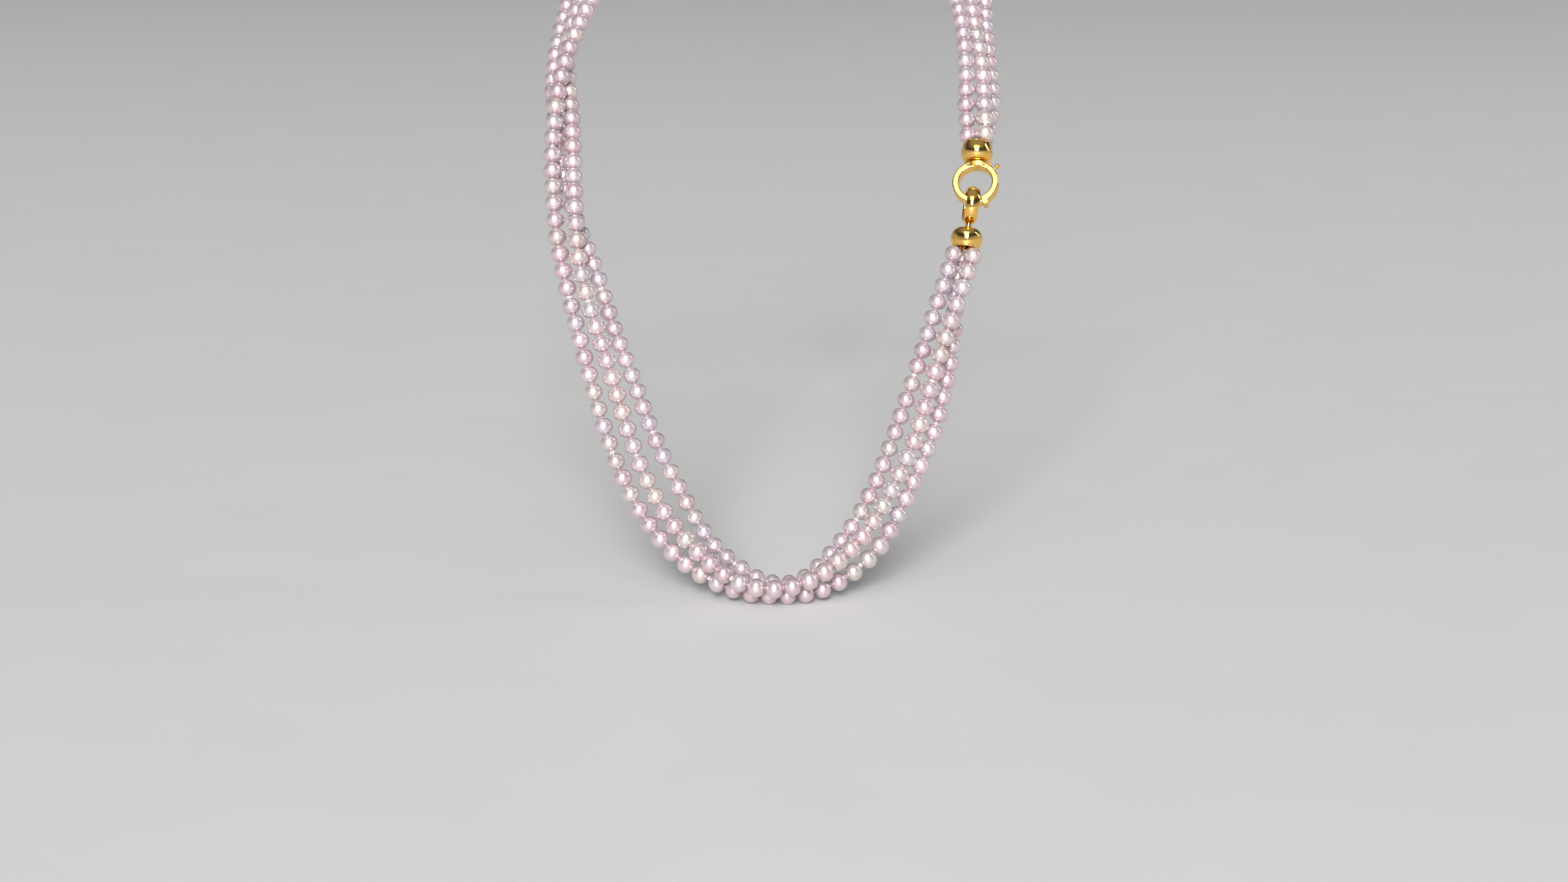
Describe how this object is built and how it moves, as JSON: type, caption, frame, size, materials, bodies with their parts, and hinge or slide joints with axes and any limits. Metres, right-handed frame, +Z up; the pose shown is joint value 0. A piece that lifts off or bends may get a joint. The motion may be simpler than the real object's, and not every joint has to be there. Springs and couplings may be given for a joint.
{
  "type": "pearl necklace",
  "caption": "Multi-strand knotted pearl necklace in its worn shape, with a gold swivel ring clasp whose gate opens and whose front lifts at the shoulders.",
  "frame": {"origin": "where the innermost strand touches the middle of the back of the neck", "axes": "+Z up, +X to the right as seen from the front, +Y from the front of the wearer towards the back"},
  "size_m": [0.1131, 0.1348, 0.1538],
  "materials": {
    "pearl_rose": "rose-white nacre, high lustre",
    "pearl_cream": "rose-cream nacre, high lustre",
    "pearl_lilac": "rose-lilac nacre, high lustre",
    "silk": "pale twisted silk",
    "gold": "polished yellow gold",
    "gold_inner": "plain yellow gold"
  },
  "bodies": {
    "back": {"pearls_a_back": "pearl_rose", "pearls_b_back": "pearl_cream", "pearls_c_back": "pearl_lilac", "knots_a_back": "silk", "knots_b_back": "silk", "knots_c_back": "silk", "silk_a_back": "silk", "silk_b_back": "silk", "silk_c_back": "silk"},
    "front": {"pearls_a_tail": "pearl_rose", "pearls_a_front": "pearl_rose", "pearls_b_tail": "pearl_cream", "pearls_b_front": "pearl_cream", "pearls_c_tail": "pearl_lilac", "pearls_c_front": "pearl_lilac", "knots_a_tail": "silk", "knots_a_front": "silk", "knots_b_tail": "silk", "knots_b_front": "silk", "knots_c_tail": "silk", "knots_c_front": "silk", "silk_a_tail": "silk", "silk_a_front": "silk", "silk_b_tail": "silk", "silk_b_front": "silk", "silk_c_tail": "silk", "silk_c_front": "silk", "upper_cap": "gold", "upper_anchor_bar": "gold_inner", "upper_end_knot": "silk", "stem": "gold", "lower_cap": "gold", "lower_anchor_bar": "gold_inner", "lower_end_knot": "silk"},
    "ring": {"ring_body": "gold", "ring_collar": "gold", "ring_nib": "gold", "swivel_rivet": "gold_inner", "gate_hinge_pin": "gold_inner"},
    "gate": {"gate": "gold", "gate_nib": "gold"},
    "link": {"link": "gold"}
  },
  "joints": [
    {"name": "front_lift", "type": "hinge", "parent": "back", "child": "front", "pos_m": [0, -0.028, -0.007], "axis": [-1, 0, 0], "range_deg": [0, 45]},
    {"name": "ring_swivel", "type": "hinge", "parent": "front", "child": "ring", "pos_m": [0.0464, -0.0781, -0.0577], "axis": [0.0585, 0.5446, 0.8366], "range_deg": [0, 20]},
    {"name": "gate_swing", "type": "hinge", "parent": "ring", "child": "gate", "pos_m": [0.04861, -0.08141, -0.06198], "axis": [0.1702, 0.8203, -0.5459], "range_deg": [0, 60]},
    {"name": "link_swivel", "type": "hinge", "parent": "front", "child": "link", "pos_m": [0.0451, -0.0814, -0.0625], "axis": [0.137, 0.3746, 0.917], "range_deg": [-20, 0]}
  ]
}
